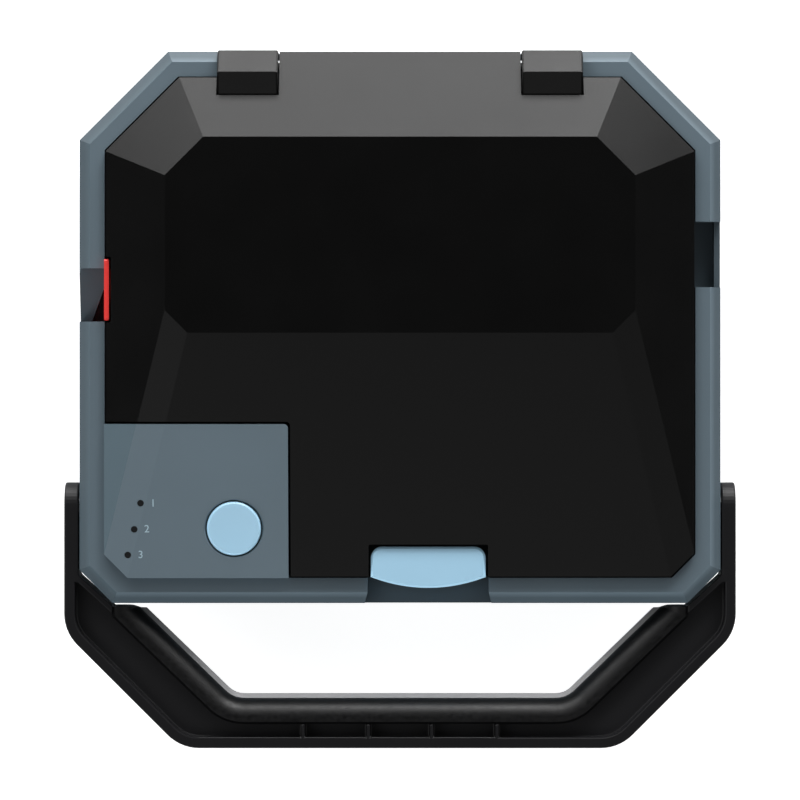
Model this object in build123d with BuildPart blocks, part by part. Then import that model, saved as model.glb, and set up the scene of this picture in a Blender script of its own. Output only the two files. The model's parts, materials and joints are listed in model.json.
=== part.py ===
from build123d import *
import math
import os

os.makedirs("parts", exist_ok=True)

# Cable label printer with a hinged lid and a folding carry handle.
# Frame: millimetres, X to the right, Y to the rear, Z up. The origin is on the
# table, under the middle of the outline that body and handle make together.

# Body
BODY_WIDTH = 172.0
BODY_LENGTH = 148.0
BODY_CENTRE_Y = 19.5
REAR_CORNER = 23.75
FRONT_CORNER = 8.9
FOOT_HEIGHT = 1.5
SPLIT_HEIGHT = 22.0
RIM_TOP = 56.0
RIM_BEVEL = 3.0
RIM_FLAT = 3.9
WALL = 2.4
FLOOR = 2.4
BASE_BEVEL = 2.5
SEAM = 0.6

# Lid
LID_GAP = 0.4
LID_EDGE_HEIGHT = 58.0
LID_TOP = 70.0
LID_SKIRT = 7.0
LID_WALL = 2.2
LID_RIB = 1.2
RIB_DEPTH = 3.0
LID_RIBS_X = (-50.0, -25.0, 25.0, 50.0)
LID_RIBS_Y = (-15.0, 5.0, 25.0, 45.0, 65.0)
LID_REAR_CUT = 19.7
LID_FRONT_CUT = 6.3
PLATEAU_WIDTH = 124.6
PLATEAU_REAR = 69.7
PLATEAU_FRONT = 17.8
PLATEAU_REAR_CUT = 10.2
PLATEAU_FRONT_CUT = 6.0

# Lid hinge
HINGE_Y = 90.0
HINGE_Z = 52.8
HINGE_SHELF = 45.0
KNUCKLE_FRONT = 81.2
KNUCKLE_FRONT_TOP = 60.9
KNUCKLE_RIDGE_Y = 87.3
KNUCKLE_RIDGE_TOP = 63.5
KNUCKLE_REAR_TOP = 58.0
KNUCKLE_INNER = 32.6
KNUCKLE_OUTER = 48.7
KNUCKLE_SWEEP = 12.4
KNUCKLE_GAP = 0.3
BARREL_REACH = 7.2
BARREL_SWEEP = 7.8
REAR_LIP_FROM = 78.0
PIN_RADIUS = 1.2
PIN_CLEARANCE = 0.05
PIN_GRIP = 5.0
PIN_MARGIN = 2.5

# Control panel
PANEL_RIGHT = -29.8
PANEL_REAR = -6.4
PANEL_CORNER = 1.1
PANEL_GAP = 0.6
BUTTON_FROM_RIGHT = 14.5
BUTTON_FROM_FRONT = 13.3
BUTTON_DISH = 0.7
BUTTON_RISE = 0.3
BUTTON_EDGE = 0.6
BUTTON_BOWL = 40.0
BUTTON_SAG = 0.45
BUTTON_RADIUS = 7.25
BUTTON_GAP = 0.35
BUTTON_TRAVEL = 1.0
LED_STEPS = ((9.95, 20.1), (8.2, 13.1), (6.4, 6.2))
LED_RADIUS = 0.9

# Latch
LATCH_CENTRE = 7.55
LATCH_WIDTH = 30.7
LATCH_REAR = -39.2
LATCH_SIDE_FRONT = -47.3
LATCH_ARC_FRONT = -50.2
LATCH_CORNER = 3.1
NOTCH_CORNER = 0.5
LATCH_GAP = 0.6
LATCH_TRAVEL = 1.6
LATCH_TOP = 58.6
LATCH_DEPTH = 5.0
THUMB_WIDTH = 32.5
THUMB_FLARE = 1.0
THUMB_DEPTH = 5.5
LATCH_EDGE = 0.6
STEM_SETBACK = 1.4
STEM_THICK = 3.0
STEM_WIDTH = 12.0

# Exit notch on the left, inlet notch on the right
EXIT_FRONT = 21.0
EXIT_REAR = 35.3
EXIT_DEPTH_REAR = 2.5
EXIT_DEPTH_FRONT = 7.5
GUARD_THICK = 1.3
GUARD_FRONT = 21.3
GUARD_REAR = 37.7
GUARD_GAP = 0.6
INLET_FRONT = 30.2
INLET_REAR = 47.8
INLET_DEPTH = 5.0
INLET_FLOOR = 9.0
INLET_LIP = 1.6

# Deck under the lid
DECK_TOP = 44.0
DECK_THICK = 2.0
DECK_GAP = 0.3
LEDGE_DEPTH = 3.0
LEDGE_THICK = 2.5

# Carry handle
PIVOT_Y = -28.7
PIVOT_DROP = 7.0
PIVOT_PIN_RADIUS = 3.0
PIVOT_PIN_DEPTH = 5.5
PIVOT_CLEARANCE = 0.05
ARM_GAP = 0.4
ARM_THICK = 3.8
HANDLE_HEIGHT = 13.0
HANDLE_FRONT = -93.5
HANDLE_DIAGONAL_Y = -62.3
HANDLE_DIAGONAL_X = 58.9
HANDLE_ROUND = 12.0
OPENING_RISE = 9.0
OPENING_REAR_X = 69.3
OPENING_REAR_Y = -55.0
OPENING_FRONT_X = 44.4
OPENING_FRONT_Y = -79.1
OPENING_ROUND = 6.0
GRIP_WIDTH = 7.9
GRIP_EDGE = 0.6
LIP_DEPTH = 1.2
LIP_ROOT = 1.0
LIP_TIP = 0.2
POCKET_RIM = 2.9
POCKET_DEPTH = 4.5
POCKET_LIP = 1.6
RIB_THICK = 1.0
RIB_PLACES = (-26.05, -8.5, 8.5, 26.05)
FOLD_GAP = 0.5

# Material path and mechanism, every axis upright
PATH_Y = 31.0
PLATE_BOTTOM = 28.0
PLATE_THICK = 1.5
PLATE_LEFT = -66.0
PLATE_RIGHT = 30.0
PLATE_FRONT = -6.0
PLATE_REAR = 74.0
ROLLER_RADIUS = 5.0
ROLLER_BOTTOM = 46.0
ROLLER_TOP = 56.0
SHAFT_RADIUS = 1.5
SHAFT_CLEARANCE = 0.05
PLATEN_X = -34.0
FEED_X = -52.0
PATH_GAP = 0.3
GEAR_MODULE = 1.0
GEAR_TEETH = 14
PINION_TEETH = 10
GEAR_THICK = 5.0
GEAR_LIFT = 1.0
PINION_ANGLE = -20.0
RUN_GAP = 0.3

# Cartridge, roll, guides and cutter
CARTRIDGE_LEFT = -20.0
CARTRIDGE_RIGHT = 44.0
CARTRIDGE_FRONT = 36.0
CARTRIDGE_REAR = 76.0
CARTRIDGE_HEIGHT = 14.0
CARTRIDGE_WALL = 1.6
TAKE_UP_X = -2.0
SUPPLY_X = 27.0
SPOOL_Y = 56.0
TAKE_UP_RADIUS = 9.0
SUPPLY_RADIUS = 14.0
HUB_RADIUS = 5.0
SPINDLE_RADIUS = 2.5
ROLL_X = 38.0
ROLL_Y = -9.0
ROLL_RADIUS = 25.0
ROLL_BOTTOM = 34.0
ROLL_TOP = 52.0
CORE_RADIUS = 9.0
CORE_WALL = 1.5
WELL_WALL = 1.6
WELL_GAP = 2.5
RAIL_LEFT = -8.0
RAIL_RIGHT = 52.0
RAIL_REACH = 3.0
RAIL_THICK = 1.2
RAIL_HEIGHT = 5.0
BAY_GAP = 0.5
GUIDE_FROM_WELL = 17.1
CUTTER_FROM_WELL = 11.1
CUTTER_TRAVEL = 6.0
BLADE_THICK = 0.8

# Electronics and small parts
MOTOR_SIZE = 28.0
MOTOR_HEIGHT = 20.0
BOARD_LEFT = 33.0
BOARD_WIDTH = 19.0
BOARD_LENGTH = 120.0
BOARD_THICK = 1.6
BOARD_HEIGHT = 9.0
BOARD_EDGE = 0.6
POST_RADIUS = 2.5
BATTERY_LEFT = -72.0
BATTERY_FRONT = -34.0
BATTERY_WIDTH = 70.0
BATTERY_LENGTH = 26.0
BATTERY_HEIGHT = 18.0
USB_X = 40.0
USB_WIDTH = 9.0
USB_HEIGHT = 3.3
USB_DEPTH = 7.5
FOOT_RADIUS = 6.0
FOOT_X = 70.0
FOOT_FRONT = -40.0
FOOT_REAR = 66.0
SCREW_X = 58.0
SCREW_RADIUS = 2.75
SCREW_HEAD = 1.8

body_front = BODY_CENTRE_Y - BODY_LENGTH / 2
body_rear = BODY_CENTRE_Y + BODY_LENGTH / 2
rim = RIM_BEVEL + RIM_FLAT
well_half = BODY_WIDTH / 2 - rim
well_front = body_front + rim
well_rear = body_rear - rim
led_spots = [(-well_half + step_x, well_front + step_y) for step_x, step_y in LED_STEPS]
button_x = PANEL_RIGHT - BUTTON_FROM_RIGHT
button_y = well_front + BUTTON_FROM_FRONT
guide_x = well_half - GUIDE_FROM_WELL
cutter_x = -well_half + CUTTER_FROM_WELL
deck_bottom = DECK_TOP - DECK_THICK
ledge_bottom = deck_bottom - LEDGE_THICK
pivot_z = RIM_TOP - RIM_BEVEL - PIVOT_DROP
lid_bottom = LID_EDGE_HEIGHT - LID_SKIRT
usb_z = BOARD_HEIGHT + BOARD_THICK + USB_HEIGHT / 2
board_rear = body_rear - WALL - BOARD_EDGE
board_front = board_rear - BOARD_LENGTH
floor_top = FOOT_HEIGHT + FLOOR
slope_run = well_rear - LID_GAP - PLATEAU_REAR
slope_fall = (LID_TOP - LID_EDGE_HEIGHT) / slope_run


def slope_height(y):
    """Height of the lid's rear slope, carried on down past the lid's edge."""
    return LID_TOP - (y - PLATEAU_REAR) * slope_fall


def octagon(half, front, rear, front_cut, rear_cut):
    """Corners of an outline with four cut corners, the right side first."""
    right = [(half - front_cut, front), (half, front + front_cut)]
    right += [(half, rear - rear_cut), (half - rear_cut, rear)]
    return right + [(-x, y) for x, y in reversed(right)]


def body_outline(inset):
    """Body outline moved inwards, its cut corners following the walls."""
    trim = inset * (2 - math.sqrt(2))
    return octagon(BODY_WIDTH / 2 - inset, body_front + inset, body_rear - inset,
                   FRONT_CORNER - trim, REAR_CORNER - trim)


def body_slab(inset, low, high):
    """Upright slab of the body outline between two heights."""
    with BuildPart() as slab:
        with BuildSketch(Plane.XY.offset(low)):
            Polygon(*body_outline(inset), align=None)
        extrude(amount=high - low)
    return slab.part


def facet_form(inset, drop, low):
    """The lid's faceted form, from an upright skirt to the plateau."""
    edge = octagon(well_half - inset, well_front + inset, well_rear - inset,
                   LID_FRONT_CUT, LID_REAR_CUT)
    top = octagon(PLATEAU_WIDTH / 2, PLATEAU_FRONT, PLATEAU_REAR,
                  PLATEAU_FRONT_CUT, PLATEAU_REAR_CUT)
    with BuildPart() as form:
        with BuildSketch(Plane.XY.offset(low)):
            Polygon(*edge, align=None)
        extrude(amount=LID_EDGE_HEIGHT - drop - low)
        with BuildSketch(Plane.XY.offset(LID_EDGE_HEIGHT - drop)):
            Polygon(*edge, align=None)
        with BuildSketch(Plane.XY.offset(LID_TOP - drop)):
            Polygon(*top, align=None)
        loft(ruled=True)
    return form.part


def block(left, right, front, rear, low, high, corner=0.0):
    """Upright block between named sides, with its upright corners rounded."""
    with BuildPart() as box:
        with Locations(((left + right) / 2, (front + rear) / 2, (low + high) / 2)):
            Box(right - left, rear - front, high - low)
        if corner > 0:
            fillet(box.edges().filter_by(Axis.Z), corner)
    return box.part


def rod(x, y, low, high, radius, bore=0.0):
    """Upright round bar or sleeve."""
    with BuildPart() as bar:
        with BuildSketch(Plane((x, y, low))):
            Circle(radius)
            if bore > 0:
                Circle(bore, mode=Mode.SUBTRACT)
        extrude(amount=high - low)
    return bar.part


def cross_rod(left, right, y, z, radius):
    """Round bar lying along X."""
    with BuildPart() as bar:
        with BuildSketch(Plane.YZ.offset(left)):
            with Locations((y, z)):
                Circle(radius)
        extrude(amount=right - left)
    return bar.part


def save(part, name):
    """Label a finished piece and write it under its own name."""
    part.label = name
    export_step(part, "parts/" + name + ".step")


# Base shell: tray with a bevelled foot and mounting bosses
base_solid = body_slab(0, FOOT_HEIGHT, SPLIT_HEIGHT)
base_hollow = body_slab(WALL, floor_top, SPLIT_HEIGHT)
screw_spots = [(-SCREW_X, FOOT_FRONT), (SCREW_X, FOOT_FRONT),
               (-SCREW_X, FOOT_REAR), (SCREW_X, FOOT_REAR)]
foot_spots = [(-FOOT_X, FOOT_FRONT), (FOOT_X, FOOT_FRONT),
              (-FOOT_X, FOOT_REAR), (FOOT_X, FOOT_REAR)]
board_spots = [(BOARD_LEFT + POST_RADIUS, board_front + POST_RADIUS),
               (BOARD_LEFT + BOARD_WIDTH - POST_RADIUS, board_front + POST_RADIUS),
               (BOARD_LEFT + BOARD_WIDTH - POST_RADIUS, BODY_CENTRE_Y),
               (BOARD_LEFT + POST_RADIUS, BODY_CENTRE_Y)]
with BuildPart() as base_shell:
    add(base_solid)
    chamfer(base_shell.faces().sort_by(Axis.Z)[0].edges(), BASE_BEVEL)
    chamfer(base_shell.faces().sort_by(Axis.Z)[-1].edges(), SEAM)
    add(base_hollow, mode=Mode.SUBTRACT)
    with BuildSketch(Plane.XY.offset(floor_top)):
        with Locations(*screw_spots):
            Circle(SCREW_RADIUS + WALL)
    extrude(amount=SPLIT_HEIGHT - SEAM - floor_top)
    with BuildSketch(Plane.XY.offset(floor_top)):
        with Locations(*board_spots):
            Circle(POST_RADIUS)
    extrude(amount=BOARD_HEIGHT - floor_top)
    with BuildSketch(Plane.XY.offset(FOOT_HEIGHT)):
        with Locations(*screw_spots):
            Circle(SCREW_RADIUS)
    extrude(amount=SPLIT_HEIGHT, mode=Mode.SUBTRACT)
    with Locations((USB_X, body_rear, usb_z)):
        Box(USB_WIDTH + RUN_GAP, 4 * WALL, USB_HEIGHT + RUN_GAP, mode=Mode.SUBTRACT)
save(base_shell.part, "base_shell")

with BuildPart() as rubber_feet:
    with BuildSketch():
        with Locations(*foot_spots):
            Circle(FOOT_RADIUS)
    extrude(amount=FOOT_HEIGHT)
    chamfer(rubber_feet.faces().sort_by(Axis.Z)[0].edges(), FOOT_HEIGHT / 4)
save(rubber_feet.part, "rubber_feet")

with BuildPart() as base_screws:
    with BuildSketch(Plane.XY.offset(floor_top)):
        with Locations(*screw_spots):
            Circle(SCREW_RADIUS)
    extrude(amount=SCREW_HEAD)
    with BuildSketch(Plane.XY.offset(floor_top + SCREW_HEAD)):
        with Locations(*screw_spots):
            Circle(SCREW_RADIUS / 2)
    extrude(amount=SPLIT_HEIGHT - floor_top)
save(base_screws.part, "base_screws")

# Upper shell: walls, ledge and rim in one moulding with the control panel
upper_solid = body_slab(0, SPLIT_HEIGHT, RIM_TOP)
upper_hollow = body_slab(WALL, SPLIT_HEIGHT, ledge_bottom)
ledge_opening = body_slab(rim + LEDGE_DEPTH, ledge_bottom, deck_bottom)
rim_opening = octagon(well_half, well_front, well_rear, LID_FRONT_CUT, LID_REAR_CUT)
panel_outer = facet_form(0, 0, DECK_TOP)
panel_inner = facet_form(WALL, WALL, DECK_TOP)
panel_block = block(-well_half, PANEL_RIGHT, well_front, PANEL_REAR, DECK_TOP, LID_TOP)
panel_hollow = block(-well_half + WALL, PANEL_RIGHT - WALL, well_front + WALL,
                     PANEL_REAR - WALL, DECK_TOP, LID_TOP)
with BuildPart() as panel_core:
    add(panel_inner)
    add(panel_hollow, mode=Mode.INTERSECT)
with BuildPart() as panel_form:
    add(panel_outer)
    add(panel_block, mode=Mode.INTERSECT)
    add(panel_core.part, mode=Mode.SUBTRACT)
    inner_corner = panel_form.edges().filter_by(Axis.Z).sort_by(
        lambda e: (e.center() - Vector(PANEL_RIGHT, PANEL_REAR, e.center().Z)).length)[0]
    fillet(inner_corner, PANEL_CORNER)
panel_slope = (LID_TOP - LID_EDGE_HEIGHT) / (PLATEAU_FRONT - well_front)
panel_height = LID_EDGE_HEIGHT + BUTTON_FROM_FRONT * panel_slope
panel_plane = Plane((button_x, button_y, panel_height), z_dir=(0, -panel_slope, 1))
with BuildPart() as button_hole:
    add(rod(button_x, button_y, DECK_TOP, LID_TOP, BUTTON_RADIUS + BUTTON_GAP))
    with BuildSketch(panel_plane.offset(-BUTTON_DISH)):
        Circle(BUTTON_RADIUS)
    with BuildSketch(panel_plane.offset(BUTTON_DISH)):
        Circle(BUTTON_RADIUS + 2 * BUTTON_DISH)
    loft()
latch_left = LATCH_CENTRE - LATCH_WIDTH / 2
latch_right = LATCH_CENTRE + LATCH_WIDTH / 2
rim_outer = BODY_WIDTH / 2
with BuildPart() as thumb_recess:
    with BuildSketch(Plane.XY.offset(RIM_TOP - THUMB_DEPTH)):
        with BuildLine():
            Polyline((LATCH_CENTRE - THUMB_WIDTH / 2, well_front + 1),
                     (LATCH_CENTRE - THUMB_WIDTH / 2, well_front - RIM_FLAT),
                     (LATCH_CENTRE - THUMB_WIDTH / 2 - THUMB_FLARE, body_front - 1),
                     (LATCH_CENTRE + THUMB_WIDTH / 2 + THUMB_FLARE, body_front - 1),
                     (LATCH_CENTRE + THUMB_WIDTH / 2, well_front - RIM_FLAT),
                     (LATCH_CENTRE + THUMB_WIDTH / 2, well_front + 1), close=True)
        make_face()
    extrude(amount=THUMB_DEPTH + 1)
with BuildPart() as exit_notch:
    with BuildSketch(Plane.YZ.offset(-rim_outer - 1)):
        Polygon((EXIT_FRONT, RIM_TOP - EXIT_DEPTH_FRONT), (EXIT_REAR, RIM_TOP - EXIT_DEPTH_REAR),
                (EXIT_REAR, RIM_TOP + 1), (EXIT_FRONT, RIM_TOP + 1), align=None)
    extrude(amount=rim + 2)
    with BuildSketch(Plane.XY.offset(DECK_TOP)):
        Polygon((-well_half + 1, EXIT_FRONT), (-well_half - RIM_FLAT, EXIT_FRONT),
                (-well_half, PATH_Y), (-well_half + 1, PATH_Y), align=None)
    extrude(amount=RIM_TOP - DECK_TOP)
with BuildPart() as inlet_notch:
    add(block(well_half - 1, rim_outer - INLET_LIP, INLET_FRONT, INLET_REAR,
              RIM_TOP - INLET_FLOOR, RIM_TOP + 1))
    add(block(well_half - 1, rim_outer + 1, INLET_FRONT, INLET_REAR,
              RIM_TOP - INLET_DEPTH, RIM_TOP + 1))
hinge_gap = block(-KNUCKLE_OUTER - KNUCKLE_GAP, KNUCKLE_OUTER + KNUCKLE_GAP, well_rear - 1,
                  body_rear + 1, HINGE_SHELF, RIM_TOP + 1)
pin_hole = cross_rod(-rim_outer - 1, -rim_outer + PIVOT_PIN_DEPTH, PIVOT_Y, pivot_z,
                     PIVOT_PIN_RADIUS + PIVOT_CLEARANCE)
with BuildPart() as upper_shell:
    add(upper_solid)
    chamfer(upper_shell.faces().sort_by(Axis.Z)[-1].edges(), RIM_BEVEL)
    chamfer(upper_shell.faces().sort_by(Axis.Z)[0].edges(), SEAM)
    add(upper_hollow, mode=Mode.SUBTRACT)
    add(ledge_opening, mode=Mode.SUBTRACT)
    with BuildSketch(Plane.XY.offset(deck_bottom)):
        Polygon(*rim_opening, align=None)
    extrude(amount=RIM_TOP - deck_bottom, mode=Mode.SUBTRACT)
    add(panel_form.part)
    add(button_hole.part, mode=Mode.SUBTRACT)
    with BuildSketch(Plane.XY.offset(DECK_TOP)):
        with Locations(*led_spots):
            Circle(LED_RADIUS)
    extrude(amount=LID_TOP - DECK_TOP, mode=Mode.SUBTRACT)
    add(thumb_recess.part, mode=Mode.SUBTRACT)
    add(exit_notch.part, mode=Mode.SUBTRACT)
    add(inlet_notch.part, mode=Mode.SUBTRACT)
    add(hinge_gap, mode=Mode.SUBTRACT)
    add(cross_rod(-KNUCKLE_OUTER, KNUCKLE_OUTER, HINGE_Y, HINGE_Z, BARREL_SWEEP),
        mode=Mode.SUBTRACT)
    add(pin_hole, mode=Mode.SUBTRACT)
    add(mirror(pin_hole, about=Plane.YZ, mode=Mode.PRIVATE), mode=Mode.SUBTRACT)
save(upper_shell.part, "upper_shell")

# Deck: the tray under the lid, with a roll well, slots and shaft openings
deck_edge = octagon(well_half - DECK_GAP, well_front + DECK_GAP, well_rear - DECK_GAP,
                    LID_FRONT_CUT, LID_REAR_CUT)
feed_y = PATH_Y - ROLLER_RADIUS - PATH_GAP
pinch_y = PATH_Y + ROLLER_RADIUS + PATH_GAP
shaft_spots = [(PLATEN_X, feed_y), (FEED_X, feed_y)]
stem_rear = LATCH_REAR - STEM_SETBACK
stem_front = stem_rear - STEM_THICK
stem_half = STEM_WIDTH / 2
with BuildPart() as inner_deck:
    with BuildSketch(Plane.XY.offset(deck_bottom)):
        Polygon(*deck_edge, align=None)
        with Locations((ROLL_X, ROLL_Y)):
            Circle(ROLL_RADIUS + WELL_GAP, mode=Mode.SUBTRACT)
        with Locations(*shaft_spots):
            Circle(SHAFT_RADIUS + RUN_GAP, mode=Mode.SUBTRACT)
        with Locations((TAKE_UP_X, SPOOL_Y)):
            Circle(SPINDLE_RADIUS + RUN_GAP, mode=Mode.SUBTRACT)
        with Locations((button_x, button_y)):
            Circle(BUTTON_RADIUS, mode=Mode.SUBTRACT)
        with Locations(*led_spots):
            Circle(LED_RADIUS + RUN_GAP, mode=Mode.SUBTRACT)
        with Locations((LATCH_CENTRE, (stem_front + stem_rear) / 2)):
            Rectangle(2 * (stem_half + RUN_GAP), stem_rear - stem_front + 2 * RUN_GAP,
                      mode=Mode.SUBTRACT)
    extrude(amount=DECK_THICK)
    with BuildSketch(Plane.XY.offset(ROLL_BOTTOM - WELL_WALL)):
        with Locations((ROLL_X, ROLL_Y)):
            Circle(ROLL_RADIUS + WELL_GAP + WELL_WALL)
    extrude(amount=DECK_TOP - ROLL_BOTTOM + WELL_WALL)
    with BuildSketch(Plane.XY.offset(ROLL_BOTTOM)):
        with Locations((ROLL_X, ROLL_Y)):
            Circle(ROLL_RADIUS + WELL_GAP)
    extrude(amount=DECK_TOP - ROLL_BOTTOM, mode=Mode.SUBTRACT)
    with BuildSketch(Plane.XY.offset(DECK_TOP)):
        with Locations(((RAIL_LEFT + RAIL_RIGHT) / 2, PATH_Y)):
            with GridLocations(1, 2 * RAIL_REACH, 1, 2):
                RectangleRounded(RAIL_RIGHT - RAIL_LEFT, RAIL_THICK, RAIL_THICK / 3)
        with Locations((CARTRIDGE_LEFT - BAY_GAP - WELL_WALL, SPOOL_Y)):
            Rectangle(WELL_WALL, CARTRIDGE_REAR - CARTRIDGE_FRONT)
        with Locations((CARTRIDGE_RIGHT + BAY_GAP + WELL_WALL, SPOOL_Y)):
            Rectangle(WELL_WALL, CARTRIDGE_REAR - CARTRIDGE_FRONT)
    extrude(amount=RAIL_HEIGHT)
save(inner_deck.part, "inner_deck")

# Lid: faceted shell with cut-outs for the panel, latch, guard and hinges
guard_left = -well_half
lid_outer = facet_form(LID_GAP, 0, lid_bottom)
lid_inner = facet_form(LID_GAP + LID_WALL, LID_WALL, lid_bottom)
lid_cuts = [
    block(-rim_outer, PANEL_RIGHT + PANEL_GAP, body_front, PANEL_REAR + PANEL_GAP,
          lid_bottom - 1, LID_TOP, PANEL_CORNER),
    block(latch_left - LATCH_GAP, latch_right + LATCH_GAP, body_front, LATCH_REAR + LATCH_GAP,
          lid_bottom - 1, LID_TOP, NOTCH_CORNER),
    block(-rim_outer, guard_left + GUARD_THICK + GUARD_GAP, GUARD_FRONT - GUARD_GAP,
          GUARD_REAR + GUARD_GAP, lid_bottom - 1, LID_TOP, PANEL_CORNER / 2)]
lid_keeps = [
    block(-rim_outer, PANEL_RIGHT + PANEL_GAP + LID_WALL, body_front,
          PANEL_REAR + PANEL_GAP + LID_WALL, lid_bottom - 1, LID_TOP),
    block(latch_left - LATCH_GAP - LID_WALL, latch_right + LATCH_GAP + LID_WALL, body_front,
          LATCH_REAR + LATCH_GAP + LID_WALL, lid_bottom - 1, LID_TOP),
    block(-rim_outer, guard_left + GUARD_THICK + GUARD_GAP + LID_WALL,
          GUARD_FRONT - GUARD_GAP - LID_WALL, GUARD_REAR + GUARD_GAP + LID_WALL,
          lid_bottom - 1, LID_TOP)]
with BuildPart() as lid_ribs:
    add(lid_inner)
    add(facet_form(LID_GAP + LID_WALL, LID_WALL + RIB_DEPTH, lid_bottom), mode=Mode.SUBTRACT)
    with BuildSketch(Plane.XY.offset(lid_bottom)):
        for rib_x in LID_RIBS_X:
            with Locations((rib_x, BODY_CENTRE_Y)):
                Rectangle(LID_RIB, BODY_LENGTH)
        for rib_y in LID_RIBS_Y:
            with Locations((0, rib_y)):
                Rectangle(BODY_WIDTH, LID_RIB)
        with Locations((0, REAR_LIP_FROM + BODY_LENGTH / 2)):
            Rectangle(BODY_WIDTH, BODY_LENGTH, mode=Mode.SUBTRACT)
    extrude(amount=LID_TOP - lid_bottom, mode=Mode.INTERSECT)
with BuildPart() as lid_core:
    add(lid_inner)
    for keep in lid_keeps:
        add(keep, mode=Mode.SUBTRACT)
barrel_rear = body_rear
with BuildPart() as lid_barrel:
    with BuildSketch(Plane.YZ.offset(-KNUCKLE_INNER + KNUCKLE_GAP)):
        with Locations((HINGE_Y, HINGE_Z)):
            Circle(BARREL_REACH)
        Polygon((well_rear - 2 * BARREL_REACH, slope_height(well_rear - 2 * BARREL_REACH)),
                (well_rear - 2 * BARREL_REACH,
                 slope_height(well_rear - 2 * BARREL_REACH) - LID_WALL),
                (HINGE_Y - BARREL_REACH / 2, HINGE_Z), (barrel_rear, HINGE_Z - 2),
                (barrel_rear, slope_height(barrel_rear)), align=None)
        Polygon((HINGE_Y - 3 * BARREL_REACH, LID_TOP + 20),
                (HINGE_Y - 3 * BARREL_REACH, slope_height(HINGE_Y - 3 * BARREL_REACH)),
                (barrel_rear + 9, slope_height(barrel_rear + 9)),
                (barrel_rear + 9, LID_TOP + 20), align=None, mode=Mode.SUBTRACT)
        Polygon((barrel_rear, 0), (barrel_rear + 9, 0), (barrel_rear + 9, LID_TOP),
                (barrel_rear, LID_TOP), align=None, mode=Mode.SUBTRACT)
    extrude(amount=2 * (KNUCKLE_INNER - KNUCKLE_GAP))
pin_hold = KNUCKLE_INNER - KNUCKLE_GAP - PIN_GRIP
with BuildPart() as lid_shell:
    add(lid_outer)
    add(lid_core.part, mode=Mode.SUBTRACT)
    add(lid_ribs.part)
    for cut in lid_cuts:
        add(cut, mode=Mode.SUBTRACT)
    add(block(-rim_outer, rim_outer, REAR_LIP_FROM, body_rear, lid_bottom - 1,
              slope_height(well_rear - LID_GAP) - LID_WALL), mode=Mode.SUBTRACT)
    add(block(well_half - 2 * LID_WALL, rim_outer, INLET_FRONT, INLET_REAR, lid_bottom - 1,
              RIM_TOP - LID_WALL), mode=Mode.SUBTRACT)
    add(lid_barrel.part)
    for side in (-1, 1):
        inner = side * (KNUCKLE_INNER - KNUCKLE_GAP)
        outer = side * (KNUCKLE_OUTER + KNUCKLE_GAP)
        hold = side * pin_hold
        add(cross_rod(min(inner, outer), max(inner, outer), HINGE_Y, HINGE_Z, KNUCKLE_SWEEP),
            mode=Mode.SUBTRACT)
        add(cross_rod(min(hold, inner), max(hold, inner), HINGE_Y, HINGE_Z,
                      PIN_RADIUS + PIN_CLEARANCE), mode=Mode.SUBTRACT)
save(lid_shell.part, "lid_shell")

# Hinge knuckles on the shelf, each with its pin
with BuildPart() as knuckle:
    with BuildSketch(Plane.YZ.offset(KNUCKLE_INNER)):
        Polygon((KNUCKLE_FRONT, HINGE_SHELF), (body_rear, HINGE_SHELF),
                (body_rear, KNUCKLE_REAR_TOP), (KNUCKLE_RIDGE_Y, KNUCKLE_RIDGE_TOP),
                (KNUCKLE_FRONT, KNUCKLE_FRONT_TOP), align=None)
        with Locations((HINGE_Y, HINGE_Z)):
            Circle(PIN_RADIUS, mode=Mode.SUBTRACT)
    extrude(amount=KNUCKLE_OUTER - KNUCKLE_INNER)
hinge_pin = cross_rod(pin_hold + PIN_MARGIN / 5, KNUCKLE_OUTER - PIN_MARGIN, HINGE_Y, HINGE_Z,
                      PIN_RADIUS)
save(knuckle.part, "hinge_knuckle_right")
save(mirror(knuckle.part, about=Plane.YZ), "hinge_knuckle_left")
save(hinge_pin, "hinge_pin_right")
save(mirror(hinge_pin, about=Plane.YZ), "hinge_pin_left")

# Handle: folded flat round the front, clear of the rim as it swings
handle_low = pivot_z - HANDLE_HEIGHT / 2
arm_inner = BODY_WIDTH / 2 + ARM_GAP
arm_outer = arm_inner + ARM_THICK
arm_round = HANDLE_HEIGHT / 2
front_reach = PIVOT_Y - body_front
corner_reach = front_reach - FRONT_CORNER
front_clear = math.hypot(front_reach, PIVOT_DROP) + FOLD_GAP
corner_clear = math.hypot(corner_reach, PIVOT_DROP) + FOLD_GAP
corner_x = BODY_WIDTH / 2 - FRONT_CORNER


def fold_line(margin):
    """Right half of the line that the folded handle keeps from the body's corner."""
    return [(corner_x, PIVOT_Y - front_clear - margin),
            (arm_inner, PIVOT_Y - corner_clear - margin), (arm_inner, PIVOT_Y)]


def fold_zone(margin):
    """Plan of the space behind that line."""
    right = fold_line(margin)
    return [(-x, y) for x, y in reversed(right)] + right


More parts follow.
